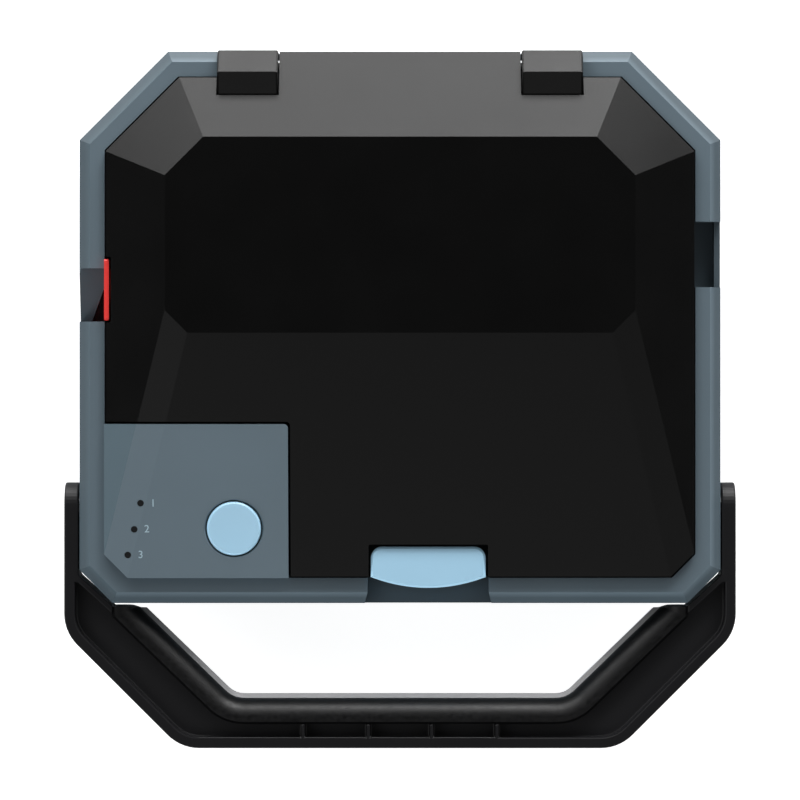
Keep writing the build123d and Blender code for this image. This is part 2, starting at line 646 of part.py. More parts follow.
with BuildPart() as swing_drum:
    with BuildSketch(Plane.XY.offset(pivot_z)):
        Polygon(*fold_zone(0), align=None)
    revolve(axis=Axis((0, PIVOT_Y, pivot_z), (1, 0, 0)))
opening_top = OPENING_REAR_Y + OPENING_RISE
opening_points = [(OPENING_REAR_X, opening_top), (OPENING_REAR_X, OPENING_REAR_Y),
                  (OPENING_FRONT_X, OPENING_FRONT_Y)]
with BuildSketch() as opening:
    Polygon(*opening_points, *[(-x, y) for x, y in reversed(opening_points)], align=None)
    fillet(opening.vertices().group_by(Axis.Y)[0], OPENING_ROUND)
with BuildSketch() as grip_zone:
    add(opening.sketch)
    offset(amount=GRIP_WIDTH, kind=Kind.INTERSECTION)
    add(opening.sketch, mode=Mode.SUBTRACT)
    with Locations((0, opening_top)):
        Rectangle(4 * OPENING_REAR_X, OPENING_RISE, align=(Align.CENTER, Align.MIN),
                  mode=Mode.SUBTRACT)
with BuildPart() as fold_space:
    with BuildSketch(Plane.XY.offset(handle_low)):
        Polygon(*fold_zone(-FOLD_GAP), align=None)
    extrude(amount=HANDLE_HEIGHT)
    add(swing_drum.part)
outer_points = [(arm_outer, PIVOT_Y + arm_round), (arm_outer, HANDLE_DIAGONAL_Y),
                (HANDLE_DIAGONAL_X, HANDLE_FRONT)]
with BuildSketch() as outer_form:
    Polygon(*outer_points, *[(-x, y) for x, y in reversed(outer_points)], align=None)
    fillet(outer_form.vertices().group_by(Axis.Y)[:2], HANDLE_ROUND)
with BuildSketch() as pocket:
    add(outer_form.sketch)
    offset(amount=-POCKET_RIM, kind=Kind.INTERSECTION)
    add(opening.sketch, mode=Mode.SUBTRACT)
    add(grip_zone.sketch, mode=Mode.SUBTRACT)
    Polygon(*fold_zone(POCKET_LIP), align=None, mode=Mode.SUBTRACT)
    with Locations((arm_outer, PIVOT_Y), (-arm_outer, PIVOT_Y)):
        Rectangle(4 * ARM_THICK, 2 * (corner_clear + POCKET_LIP), mode=Mode.SUBTRACT)
    for place in RIB_PLACES:
        with Locations((place, HANDLE_FRONT)):
            Rectangle(RIB_THICK, 4 * GRIP_WIDTH, mode=Mode.SUBTRACT)
with BuildPart() as handle_frame:
    with BuildSketch(Plane.XY.offset(handle_low)):
        add(outer_form.sketch)
        add(opening.sketch, mode=Mode.SUBTRACT)
        add(grip_zone.sketch, mode=Mode.SUBTRACT)
    extrude(amount=HANDLE_HEIGHT)
    add(fold_space.part, mode=Mode.SUBTRACT)
    with BuildSketch(Plane.XY.offset(handle_low + HANDLE_HEIGHT - POCKET_DEPTH)):
        add(pocket.sketch)
    extrude(amount=POCKET_DEPTH, mode=Mode.SUBTRACT)
    with BuildSketch(Plane.XY.offset(handle_low)):
        add(pocket.sketch)
    extrude(amount=POCKET_DEPTH, mode=Mode.SUBTRACT)
    with BuildSketch(Plane.YZ.offset(-arm_outer - 1)):
        with Locations((PIVOT_Y, pivot_z)):
            Circle(arm_round)
        Polygon((PIVOT_Y, handle_low), (2 * HANDLE_FRONT, handle_low),
                (2 * HANDLE_FRONT, handle_low + HANDLE_HEIGHT),
                (PIVOT_Y, handle_low + HANDLE_HEIGHT), align=None)
    extrude(amount=2 * arm_outer + 2, mode=Mode.INTERSECT)
    add(cross_rod(-arm_outer - 1, arm_outer + 1, PIVOT_Y, pivot_z, PIVOT_PIN_RADIUS),
        mode=Mode.SUBTRACT)
save(handle_frame.part, "handle_frame")
half_height = HANDLE_HEIGHT / 2
grip_round = half_height - LIP_ROOT
with BuildPart() as handle_grip:
    with BuildLine(Plane.XY.offset(pivot_z)) as grip_path:
        Polyline(*opening_points, *[(-x, y) for x, y in reversed(opening_points)])
        fillet(grip_path.vertices().group_by(Axis.Y)[0], OPENING_ROUND)
    with BuildSketch(Plane((OPENING_REAR_X, opening_top, pivot_z), x_dir=(1, 0, 0),
                           z_dir=(0, -1, 0))):
        with BuildLine():
            Polyline((0, 0), (0, LIP_TIP), (LIP_DEPTH, LIP_ROOT))
            CenterArc((LIP_DEPTH + grip_round, LIP_ROOT), grip_round, 180, -90)
            Polyline((LIP_DEPTH + grip_round, half_height), (GRIP_WIDTH - GRIP_EDGE, half_height),
                     (GRIP_WIDTH, half_height - GRIP_EDGE), (GRIP_WIDTH, 0), (0, 0))
        make_face()
        mirror(about=Plane.XZ)
    sweep(path=grip_path.wires()[0], transition=Transition.RIGHT)
    add(fold_space.part, mode=Mode.SUBTRACT)
save(handle_grip.part, "handle_grip")
pivot_pin = cross_rod(rim_outer - PIVOT_PIN_DEPTH + PIVOT_CLEARANCE, arm_outer - SEAM,
                      PIVOT_Y, pivot_z, PIVOT_PIN_RADIUS)
save(pivot_pin, "pivot_pin_right")
save(mirror(pivot_pin, about=Plane.YZ), "pivot_pin_left")

# Steel chassis: bent plate that stands on the floor and carries the drive
plate_top = PLATE_BOTTOM + PLATE_THICK
gear_low = plate_top + GEAR_LIFT
pitch = GEAR_MODULE * GEAR_TEETH
pinion_distance = GEAR_MODULE * (GEAR_TEETH + PINION_TEETH) / 2
idler_x = (PLATEN_X + FEED_X) / 2
idler_y = feed_y - math.sqrt(pitch ** 2 - ((PLATEN_X - FEED_X) / 2) ** 2)
pinion_x = idler_x + pinion_distance * math.cos(math.radians(PINION_ANGLE))
pinion_y = idler_y + pinion_distance * math.sin(math.radians(PINION_ANGLE))
bush_spots = [(PLATEN_X, feed_y), (FEED_X, feed_y), (TAKE_UP_X, SPOOL_Y)]
BUSH_WALL = 1.2
BUSH_FLANGE = 0.6
bush_radius = SHAFT_RADIUS + BUSH_WALL
FLANGE_WINDOW = 12.0
with BuildPart() as mech_frame:
    add(block(PLATE_LEFT, PLATE_RIGHT, PLATE_FRONT, PLATE_REAR, PLATE_BOTTOM, plate_top))
    add(block(PLATE_LEFT, PLATE_RIGHT, PLATE_FRONT, PLATE_FRONT + PLATE_THICK, floor_top,
              plate_top))
    add(block(PLATE_LEFT, PLATE_RIGHT, PLATE_REAR - PLATE_THICK, PLATE_REAR, floor_top,
              plate_top))
    with BuildSketch(Plane.XY.offset(PLATE_BOTTOM)):
        with Locations(*bush_spots):
            Circle(bush_radius)
        with Locations((pinion_x, pinion_y)):
            Circle(PINION_TEETH * GEAR_MODULE / 2 + 2 * GEAR_MODULE)
    extrude(amount=PLATE_THICK, mode=Mode.SUBTRACT)
    with BuildSketch(Plane.XZ.offset(-PLATE_REAR - 1)):
        with GridLocations(2 * FLANGE_WINDOW, 1, 3, 1):
            with Locations(((PLATE_LEFT + PLATE_RIGHT) / 2, (floor_top + PLATE_BOTTOM) / 2)):
                RectangleRounded(FLANGE_WINDOW, FLANGE_WINDOW, PLATE_THICK)
    extrude(amount=PLATE_REAR - PLATE_FRONT + 2, mode=Mode.SUBTRACT)
save(mech_frame.part, "mech_frame")
with BuildPart() as shaft_bushes:
    with BuildSketch(Plane.XY.offset(PLATE_BOTTOM)):
        with Locations(*bush_spots):
            Circle(bush_radius)
            Circle(SHAFT_RADIUS + SHAFT_CLEARANCE, mode=Mode.SUBTRACT)
    extrude(amount=PLATE_THICK + BUSH_FLANGE)
save(shaft_bushes.part, "shaft_bushes")


def gear(x, y, teeth, turn, bore):
    """Spur gear whose flanks are involutes, thinned a little for backlash."""
    pressure = math.radians(25)
    middle = GEAR_MODULE * teeth / 2
    circle = middle * math.cos(pressure)
    tip = middle + 0.8 * GEAR_MODULE
    foot = middle - 1.1 * GEAR_MODULE
    half = math.pi / (2 * teeth) - BACKLASH / (2 * middle)
    flank_turn = math.tan(pressure) - pressure

    def flank(radius):
        lean = math.acos(min(1.0, circle / radius))
        return half + flank_turn - (math.tan(lean) - lean)

    low = max(circle, foot)
    steps = [low, middle, (middle + tip) / 2, tip]
    points = []
    for tooth in range(teeth):
        centre = math.radians(turn) + 2 * math.pi * tooth / teeth
        rising = [(foot, -flank(low))] if low > foot else []
        rising += [(radius, -flank(radius)) for radius in steps]
        falling = [(radius, -angle) for radius, angle in reversed(rising)]
        points += [(radius * math.cos(centre + angle), radius * math.sin(centre + angle))
                   for radius, angle in rising + falling]
    with BuildPart() as wheel:
        with BuildSketch(Plane((x, y, gear_low))):
            Polygon(*points, align=None)
            Circle(bore, mode=Mode.SUBTRACT)
        extrude(amount=GEAR_THICK)
    return wheel.part


def mesh_turn(first, second, first_turn, first_teeth, second_teeth):
    """Turn of the second gear that puts its gap over a tooth of the first."""
    line = math.degrees(math.atan2(second[1] - first[1], second[0] - first[0]))
    phase = 0.5 - (line - first_turn) * first_teeth / 360
    return line + 180 - phase * 360 / second_teeth


BACKLASH = 0.16
idler_spot = (idler_x, idler_y)
idler_turn = 0.0
platen_turn = mesh_turn(idler_spot, (PLATEN_X, feed_y), idler_turn, GEAR_TEETH, GEAR_TEETH)
feed_turn = mesh_turn(idler_spot, (FEED_X, feed_y), idler_turn, GEAR_TEETH, GEAR_TEETH)
pinion_turn = mesh_turn(idler_spot, (pinion_x, pinion_y), idler_turn, GEAR_TEETH, PINION_TEETH)
save(gear(idler_x, idler_y, GEAR_TEETH, idler_turn, SHAFT_RADIUS + SHAFT_CLEARANCE),
     "idler_gear")
save(gear(PLATEN_X, feed_y, GEAR_TEETH, platen_turn, SHAFT_RADIUS), "platen_gear")
save(gear(FEED_X, feed_y, GEAR_TEETH, feed_turn, SHAFT_RADIUS), "feed_gear")
save(gear(pinion_x, pinion_y, PINION_TEETH, pinion_turn, SHAFT_RADIUS), "motor_pinion")

# Shafts and rubber rollers
shaft_low = PLATE_BOTTOM
shaft_high = ROLLER_TOP + PLATE_THICK
save(rod(PLATEN_X, feed_y, shaft_low, shaft_high, SHAFT_RADIUS), "platen_shaft")
save(rod(FEED_X, feed_y, shaft_low, shaft_high, SHAFT_RADIUS), "feed_shaft")
save(rod(PLATEN_X, feed_y, ROLLER_BOTTOM, ROLLER_TOP, ROLLER_RADIUS, SHAFT_RADIUS),
     "platen_roller")
save(rod(FEED_X, feed_y, ROLLER_BOTTOM, ROLLER_TOP, ROLLER_RADIUS, SHAFT_RADIUS),
     "feed_roller")
loose_bore = SHAFT_RADIUS + SHAFT_CLEARANCE
save(rod(FEED_X, pinch_y, ROLLER_BOTTOM, ROLLER_TOP, ROLLER_RADIUS, loose_bore),
     "pinch_roller")
save(rod(guide_x, feed_y, ROLLER_BOTTOM, ROLLER_TOP, ROLLER_RADIUS, loose_bore),
     "guide_roller")
shoulder = SHAFT_RADIUS + SHAFT_RADIUS / 2
with BuildPart() as roller_studs:
    for spot_x, spot_y in ((FEED_X, pinch_y), (guide_x, feed_y)):
        add(rod(spot_x, spot_y, DECK_TOP, shaft_high, SHAFT_RADIUS))
        add(rod(spot_x, spot_y, DECK_TOP, ROLLER_BOTTOM - RUN_GAP, shoulder))
save(roller_studs.part, "roller_studs")
with BuildPart() as idler_stud:
    add(rod(idler_x, idler_y, plate_top, gear_low + GEAR_THICK + GEAR_LIFT, SHAFT_RADIUS))
    add(rod(idler_x, idler_y, plate_top, gear_low - RUN_GAP, shoulder))
save(idler_stud.part, "idler_stud")

# Stepper motor hung under the plate, its shaft up through the opening
motor_low = PLATE_BOTTOM - MOTOR_HEIGHT
with BuildPart() as feed_motor:
    add(block(pinion_x - MOTOR_SIZE / 2, pinion_x + MOTOR_SIZE / 2, pinion_y - MOTOR_SIZE / 2,
              pinion_y + MOTOR_SIZE / 2, motor_low, PLATE_BOTTOM, 3.0))
    add(rod(pinion_x, pinion_y, PLATE_BOTTOM, plate_top, PINION_TEETH * GEAR_MODULE / 2))
    add(rod(pinion_x, pinion_y, motor_low + MOTOR_HEIGHT / 2, gear_low,
            SHAFT_RADIUS + SHAFT_CLEARANCE), mode=Mode.SUBTRACT)
save(feed_motor.part, "feed_motor")
save(rod(pinion_x, pinion_y, motor_low + MOTOR_HEIGHT / 2 + RUN_GAP, gear_low + GEAR_THICK,
         SHAFT_RADIUS), "motor_shaft")

# Print head with its finned heat sink behind the path
HEAD_WIDTH = 10.0
HEAD_THICK = 2.0
SINK_DEPTH = 10.0
FIN_COUNT = 5
head_front = PATH_Y + PATH_GAP
sink_front = head_front + HEAD_THICK
save(block(PLATEN_X - HEAD_WIDTH / 2, PLATEN_X + HEAD_WIDTH / 2, head_front, sink_front,
           DECK_TOP, ROLLER_TOP), "print_head")
with BuildPart() as head_sink:
    sink_half = HEAD_WIDTH * 0.7
    add(block(PLATEN_X - sink_half, PLATEN_X + sink_half, sink_front,
              sink_front + HEAD_THICK, DECK_TOP, ROLLER_TOP))
    with BuildSketch(Plane.XY.offset(DECK_TOP)):
        with Locations((PLATEN_X, sink_front + SINK_DEPTH / 2)):
            with GridLocations(2 * sink_half / FIN_COUNT, 1, FIN_COUNT, 1):
                Rectangle(sink_half / FIN_COUNT, SINK_DEPTH)
    extrude(amount=ROLLER_TOP - DECK_TOP)
save(head_sink.part, "head_sink")

# Ribbon drive: pulleys on the platen and take-up shafts and their belt
PULLEY_RADIUS = 4.0
PULLEY_THICK = 4.0
BELT_THICK = 0.9
pulley_low = gear_low + GEAR_THICK
belt_low = pulley_low + RUN_GAP
belt_high = pulley_low + PULLEY_THICK - RUN_GAP
save(rod(PLATEN_X, feed_y, pulley_low, pulley_low + PULLEY_THICK, PULLEY_RADIUS,
         SHAFT_RADIUS), "platen_pulley")
save(rod(TAKE_UP_X, SPOOL_Y, pulley_low, pulley_low + PULLEY_THICK, PULLEY_RADIUS,
         SHAFT_RADIUS), "takeup_pulley")
belt_length = math.hypot(TAKE_UP_X - PLATEN_X, SPOOL_Y - feed_y)
belt_turn = math.degrees(math.atan2(SPOOL_Y - feed_y, TAKE_UP_X - PLATEN_X))
belt_inside = PULLEY_RADIUS + RUN_GAP
with BuildPart() as ribbon_belt:
    with BuildSketch(Plane((0, 0, belt_low))):
        with Locations(Location(((PLATEN_X + TAKE_UP_X) / 2, (feed_y + SPOOL_Y) / 2, 0),
                                (0, 0, belt_turn))):
            SlotCenterToCenter(belt_length, 2 * (belt_inside + BELT_THICK))
            SlotCenterToCenter(belt_length, 2 * belt_inside, mode=Mode.SUBTRACT)
    extrude(amount=belt_high - belt_low)
save(ribbon_belt.part, "ribbon_belt")

# Ribbon cartridge with its two spools
cartridge_low = DECK_TOP
cartridge_high = DECK_TOP + CARTRIDGE_HEIGHT
spool_low = cartridge_low + CARTRIDGE_WALL + RUN_GAP
spool_high = cartridge_high - CARTRIDGE_WALL - RUN_GAP
CARTRIDGE_CORNER = 6.0
HUB_GAP = 0.6
spool_spots = [(TAKE_UP_X, SPOOL_Y), (SUPPLY_X, SPOOL_Y)]
with BuildPart() as cartridge_case:
    add(block(CARTRIDGE_LEFT, CARTRIDGE_RIGHT, CARTRIDGE_FRONT, CARTRIDGE_REAR, cartridge_low,
              cartridge_high, CARTRIDGE_CORNER))
    add(block(CARTRIDGE_LEFT + CARTRIDGE_WALL, CARTRIDGE_RIGHT - CARTRIDGE_WALL,
              CARTRIDGE_FRONT + CARTRIDGE_WALL, CARTRIDGE_REAR - CARTRIDGE_WALL,
              cartridge_low + CARTRIDGE_WALL, cartridge_high - CARTRIDGE_WALL,
              CARTRIDGE_CORNER - CARTRIDGE_WALL), mode=Mode.SUBTRACT)
    with BuildSketch(Plane.XY.offset(cartridge_low)):
        with Locations(*spool_spots):
            Circle(HUB_RADIUS + HUB_GAP)
    extrude(amount=CARTRIDGE_HEIGHT, mode=Mode.SUBTRACT)
    add(block(CARTRIDGE_LEFT - 1, CARTRIDGE_LEFT + CARTRIDGE_WALL + 1,
              CARTRIDGE_FRONT + CARTRIDGE_CORNER, CARTRIDGE_FRONT + 2 * CARTRIDGE_CORNER,
              spool_low, spool_high), mode=Mode.SUBTRACT)
save(cartridge_case.part, "cartridge_case")


def spool(x, radius, bore):
    """Ribbon wound on a hub that shows through the cartridge's openings."""
    with BuildPart() as reel:
        add(rod(x, SPOOL_Y, spool_low, spool_high, radius))
        add(rod(x, SPOOL_Y, cartridge_low + RUN_GAP, cartridge_high - RUN_GAP, HUB_RADIUS))
        add(rod(x, SPOOL_Y, cartridge_low, cartridge_high, bore), mode=Mode.SUBTRACT)
    return reel.part


save(spool(TAKE_UP_X, TAKE_UP_RADIUS, SPINDLE_RADIUS), "takeup_spool")
save(spool(SUPPLY_X, SUPPLY_RADIUS, SPINDLE_RADIUS + SHAFT_CLEARANCE), "supply_spool")
with BuildPart() as takeup_spindle:
    add(rod(TAKE_UP_X, SPOOL_Y, shaft_low, pulley_low + PULLEY_THICK, SHAFT_RADIUS))
    add(rod(TAKE_UP_X, SPOOL_Y, pulley_low + PULLEY_THICK, cartridge_high, SPINDLE_RADIUS))
save(takeup_spindle.part, "takeup_spindle")
save(rod(SUPPLY_X, SPOOL_Y, DECK_TOP, cartridge_high, SPINDLE_RADIUS), "supply_post")

# Label roll in its well, turning on a post
POST_WALL = 1.5
post_radius = CORE_RADIUS - CORE_WALL - SHAFT_CLEARANCE
with BuildPart() as roll_post:
    add(rod(ROLL_X, ROLL_Y, ROLL_BOTTOM, ROLL_TOP, post_radius))
    add(rod(ROLL_X, ROLL_Y, ROLL_BOTTOM + POST_WALL, ROLL_TOP, post_radius - POST_WALL),
        mode=Mode.SUBTRACT)
save(roll_post.part, "roll_post")
roll_low = ROLL_BOTTOM + RUN_GAP
save(rod(ROLL_X, ROLL_Y, roll_low, ROLL_TOP, CORE_RADIUS, CORE_RADIUS - CORE_WALL),
     "roll_core")
save(rod(ROLL_X, ROLL_Y, roll_low, ROLL_TOP - RUN_GAP, ROLL_RADIUS, CORE_RADIUS),
     "label_roll")

# Cutter across the path: a slotted anvil, a slotted guide and the blade
CUTTER_HALF = 4.0
CUTTER_REACH = 10.0
BLADE_LENGTH = 14.0
blade_front = PATH_Y + 2.0
blade_slot = BLADE_THICK / 2 + RUN_GAP
blade_low = ROLLER_BOTTOM + GEAR_LIFT / 2
with BuildPart() as cutter_holder:
    add(block(cutter_x - CUTTER_HALF, cutter_x + CUTTER_HALF, PATH_Y - 2 - CUTTER_REACH,
              blade_front + 2 + CUTTER_REACH, DECK_TOP, ROLLER_BOTTOM))
    add(block(cutter_x - CUTTER_HALF, cutter_x + CUTTER_HALF, PATH_Y - 2 - CUTTER_REACH,
              PATH_Y - 2, ROLLER_BOTTOM, ROLLER_TOP))
    add(block(cutter_x - CUTTER_HALF, cutter_x + CUTTER_HALF, blade_front + 2,
              blade_front + 2 + CUTTER_REACH, ROLLER_BOTTOM, ROLLER_TOP))
    add(block(cutter_x - blade_slot, cutter_x + blade_slot, PATH_Y - CUTTER_REACH,
              blade_front + 3 + CUTTER_REACH, ROLLER_BOTTOM, ROLLER_TOP + 1),
        mode=Mode.SUBTRACT)
save(cutter_holder.part, "cutter_holder")
with BuildPart() as cutter_blade:
    with BuildSketch(Plane.YZ.offset(cutter_x - BLADE_THICK / 2)):
        Polygon((blade_front, ROLLER_TOP), (blade_front + 2, blade_low),
                (blade_front + BLADE_LENGTH, blade_low), (blade_front + BLADE_LENGTH, ROLLER_TOP),
                align=None)
    extrude(amount=BLADE_THICK)
save(cutter_blade.part, "cutter_blade")

# Red guard inside the exit, slotted for the label
GUARD_SLOT = 4.0
with BuildPart() as exit_guard:
    add(block(guard_left, guard_left + GUARD_THICK, GUARD_FRONT, GUARD_REAR, DECK_TOP,
              LID_EDGE_HEIGHT))
    add(block(guard_left - 1, guard_left + 2 * GUARD_THICK, PATH_Y - GUARD_SLOT,
              PATH_Y + GUARD_SLOT, ROLLER_BOTTOM, RIM_TOP - GUARD_THICK), mode=Mode.SUBTRACT)
    fillet(exit_guard.edges().filter_by(Axis.X).group_by(Axis.Z)[-1], GUARD_THICK / 2)
save(exit_guard.part, "exit_guard")

# Latch: press button with a stem, sliding hook on the deck, catch on the lid
HOOK_HALF = 8.0
HOOK_FRONT = 1.8
HOOK_LENGTH = 9.0
HOOK_THICK = 2.0
HOOK_TOP = 50.5
hook_front = stem_rear + HOOK_FRONT
hook_low = DECK_TOP + RUN_GAP
catch_front = hook_front + HOOK_LENGTH - HOOK_THICK
with BuildPart() as latch_button:
    with BuildSketch(Plane.XY.offset(LATCH_TOP - LATCH_DEPTH)):
        with BuildLine():
            Polyline((latch_left, LATCH_SIDE_FRONT), (latch_left, LATCH_REAR),
                     (latch_right, LATCH_REAR), (latch_right, LATCH_SIDE_FRONT))
            ThreePointArc((latch_right, LATCH_SIDE_FRONT), (LATCH_CENTRE, LATCH_ARC_FRONT),
                          (latch_left, LATCH_SIDE_FRONT))
        make_face()
    extrude(amount=LATCH_DEPTH)
    fillet(latch_button.edges().filter_by(Axis.Z).group_by(Axis.Y)[-1], LATCH_CORNER)
    chamfer(latch_button.faces().sort_by(Axis.Z)[-1].edges(), LATCH_EDGE)
    add(block(LATCH_CENTRE - stem_half, LATCH_CENTRE + stem_half, stem_front, stem_rear,
              deck_bottom - LATCH_TRAVEL / 2, LATCH_TOP - LATCH_DEPTH))
save(latch_button.part, "latch_button")
with BuildPart() as latch_hook:
    add(block(LATCH_CENTRE - HOOK_HALF, LATCH_CENTRE + HOOK_HALF, hook_front,
              hook_front + HOOK_LENGTH, hook_low, hook_low + HOOK_THICK))
    add(block(LATCH_CENTRE - HOOK_HALF, LATCH_CENTRE + HOOK_HALF, hook_front + HOOK_THICK,
              hook_front + 2 * HOOK_THICK, hook_low, HOOK_TOP))
    add(block(LATCH_CENTRE - HOOK_HALF, LATCH_CENTRE + HOOK_HALF, hook_front + HOOK_THICK,
              catch_front - RUN_GAP, HOOK_TOP - HOOK_THICK, HOOK_TOP))
save(latch_hook.part, "latch_hook")
with BuildPart() as lid_catch:
    add(facet_form(LID_GAP + LID_WALL, LID_WALL, DECK_TOP))
    add(block(LATCH_CENTRE - HOOK_HALF, LATCH_CENTRE + HOOK_HALF, catch_front,
              catch_front + HOOK_THICK, HOOK_TOP - 2 * HOOK_THICK + RUN_GAP, LID_TOP),
        mode=Mode.INTERSECT)
save(lid_catch.part, "lid_catch")

# Electronics: main board with its port, battery, and the control board
board_low = BOARD_HEIGHT
board_top = board_low + BOARD_THICK
save(block(BOARD_LEFT, BOARD_LEFT + BOARD_WIDTH, board_front, board_rear, board_low,
           board_top, 1.0), "main_board")
with BuildPart() as usb_port:
    with BuildSketch(Plane.XZ.offset(-body_rear + RUN_GAP)):
        with Locations((USB_X, usb_z)):
            RectangleRounded(USB_WIDTH, USB_HEIGHT, USB_HEIGHT / 2.1)
    extrude(amount=USB_DEPTH)
    with BuildSketch(Plane.XZ.offset(-body_rear + RUN_GAP)):
        with Locations((USB_X, usb_z)):
            RectangleRounded(USB_WIDTH - 2 * RUN_GAP, USB_HEIGHT - 2 * RUN_GAP,
                             USB_HEIGHT / 2.8)
            Rectangle(USB_WIDTH * 0.7, USB_HEIGHT / 5, mode=Mode.SUBTRACT)
    extrude(amount=USB_DEPTH - 1, mode=Mode.SUBTRACT)
save(usb_port.part, "usb_port")
save(block(BATTERY_LEFT, BATTERY_LEFT + BATTERY_WIDTH, BATTERY_FRONT,
           BATTERY_FRONT + BATTERY_LENGTH, floor_top, floor_top + BATTERY_HEIGHT, 2.0),
     "battery_pack")

CONTROL_HEIGHT = 6.0
CONTROL_MARGIN = 1.0
CONTROL_CORNER = 8.0
SWITCH_SIZE = 6.0
SWITCH_HEIGHT = 1.6
control_low = DECK_TOP + CONTROL_HEIGHT
control_top = control_low + BOARD_THICK
control_left = -well_half + WALL + CONTROL_MARGIN
control_right = PANEL_RIGHT - WALL - CONTROL_MARGIN
control_front = well_front + WALL + CONTROL_MARGIN
control_rear = PANEL_REAR - WALL - CONTROL_MARGIN
save(block(control_left, control_right, control_front, control_rear, control_low,
           control_top, CONTROL_CORNER), "control_board")
with BuildPart() as board_spacers:
    with BuildSketch(Plane.XY.offset(DECK_TOP)):
        with Locations(((control_left + control_right) / 2, (control_front + control_rear) / 2)):
            with GridLocations(control_right - control_left - 4 * POST_RADIUS,
                               control_rear - control_front - 4 * POST_RADIUS, 2, 2):
                Circle(POST_RADIUS)
    extrude(amount=CONTROL_HEIGHT)
save(board_spacers.part, "board_spacers")
save(block(button_x - SWITCH_SIZE / 2, button_x + SWITCH_SIZE / 2, button_y - SWITCH_SIZE / 2,
           button_y + SWITCH_SIZE / 2, control_top, control_top + SWITCH_HEIGHT, 0.5),
     "power_switch")
LENS_CLEARANCE = 0.05
with BuildPart() as led_lenses:
    with BuildSketch(Plane.XY.offset(control_top)):
        with Locations(*led_spots):
            Circle(LED_RADIUS - LENS_CLEARANCE)
    extrude(amount=LID_TOP - control_top)
    add(facet_form(0, LENS_CLEARANCE, control_top), mode=Mode.INTERSECT)
save(led_lenses.part, "led_lenses")
button_plane = panel_plane.offset(BUTTON_RISE)
hollow_top = panel_height - BUTTON_RADIUS * panel_slope - CORE_WALL
button_low = control_top + SWITCH_HEIGHT + BUTTON_TRAVEL + RUN_GAP
with BuildPart() as power_button:
    add(rod(button_x, button_y, button_low, LID_TOP, BUTTON_RADIUS))
    split(bisect_by=button_plane, keep=Keep.BOTTOM)
    chamfer(power_button.faces().sort_by(Axis.Z)[-1].edges(), BUTTON_EDGE)
    with Locations(button_plane.offset(BUTTON_BOWL - BUTTON_SAG).location):
        Sphere(BUTTON_BOWL, mode=Mode.SUBTRACT)
    with BuildSketch(Plane((button_x, button_y, button_low))):
        Circle(BUTTON_RADIUS - CORE_WALL)
        Circle(SWITCH_SIZE / 2, mode=Mode.SUBTRACT)
    extrude(amount=hollow_top - button_low, mode=Mode.SUBTRACT)
save(power_button.part, "power_button")
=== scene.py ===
"""Looks of the cable label printer: materials, small scene pieces, studio and camera."""

import json
import math

import bmesh
import bpy
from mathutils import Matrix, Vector


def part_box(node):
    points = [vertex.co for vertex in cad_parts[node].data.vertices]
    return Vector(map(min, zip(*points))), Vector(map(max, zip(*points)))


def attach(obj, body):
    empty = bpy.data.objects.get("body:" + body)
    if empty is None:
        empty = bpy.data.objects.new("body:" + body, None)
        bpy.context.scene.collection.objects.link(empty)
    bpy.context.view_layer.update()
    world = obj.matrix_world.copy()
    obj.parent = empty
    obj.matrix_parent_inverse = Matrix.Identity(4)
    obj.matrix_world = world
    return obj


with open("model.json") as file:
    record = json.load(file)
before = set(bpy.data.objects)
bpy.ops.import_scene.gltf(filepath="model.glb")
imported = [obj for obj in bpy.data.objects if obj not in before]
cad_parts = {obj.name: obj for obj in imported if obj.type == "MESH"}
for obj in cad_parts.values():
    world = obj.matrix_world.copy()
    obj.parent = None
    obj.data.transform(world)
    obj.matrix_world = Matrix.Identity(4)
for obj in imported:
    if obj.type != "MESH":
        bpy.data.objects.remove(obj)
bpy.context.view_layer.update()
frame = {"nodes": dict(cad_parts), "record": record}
nodes = frame["nodes"]
MM = 0.001


def srgb(red, green, blue):
    """Colour written in 0 to 255 screen values, as linear light."""
    def linear(value):
        value /= 255.0
        return value / 12.92 if value <= 0.04045 else ((value + 0.055) / 1.055) ** 2.4
    return linear(red), linear(green), linear(blue), 1.0


# Colours of the large surfaces; the small ones are in the table of materials
SLATE = srgb(72, 85, 93)
SLATE_PANEL = srgb(102, 118, 128)
# Darker slate painted as shade on the panel's left-facing side
SLATE_PAINTED_SHADE = srgb(80, 97, 106)
BLUE = srgb(176, 220, 246)
RED = srgb(244, 64, 60)
HANDLE = srgb(20, 20, 22)
# Paler handle plastic, painted as light on the floor of the pockets
HANDLE_PAINTED_LIGHT = srgb(31, 31, 33)
GRIP = srgb(7, 7, 8)
# Pale grey painted on the grip's lip as its highlight
LIP_PAINTED_HIGHLIGHT = srgb(158, 158, 160)
PAPER = srgb(234, 233, 226)
PRINT = srgb(176, 200, 212)

# Where one colour of a surface gives way to the next, as heights in the rest pose: the paler
# control panel, the painted light on the handle's pocket floors, and the painted highlight on
# the grip's lip
PANEL_START = (54.5 * MM, 56.5 * MM)
POCKET_LIGHT_END = (50.5 * MM, 51.5 * MM)
LIP_HIGHLIGHT_START = (44.8 * MM, 44.9 * MM)
LIP_HIGHLIGHT_END = (47.05 * MM, 47.15 * MM)

# Painted shade on the panel's left side: how far a surface faces left, as the x part of its
# normal, sets how much of the darker slate it gets
PANEL_SHADE_FACING = (-0.30, -0.15)

# Noise scales, in cycles per metre: cloudy patches, worn smears, mould sparks, paper turns
CLOUD_SCALE = 38.0
SMEAR_SCALE = 60.0
SPARK_SCALE = 9000.0
DUST_SCALE = 900.0
TURNS_SCALE = 1400.0

# Depths of relief
SPARK_DEPTH = 0.04 * MM
STREAK_DEPTH = 0.03 * MM
DUST_DEPTH = 0.06 * MM
TURNS_DEPTH = 0.1 * MM


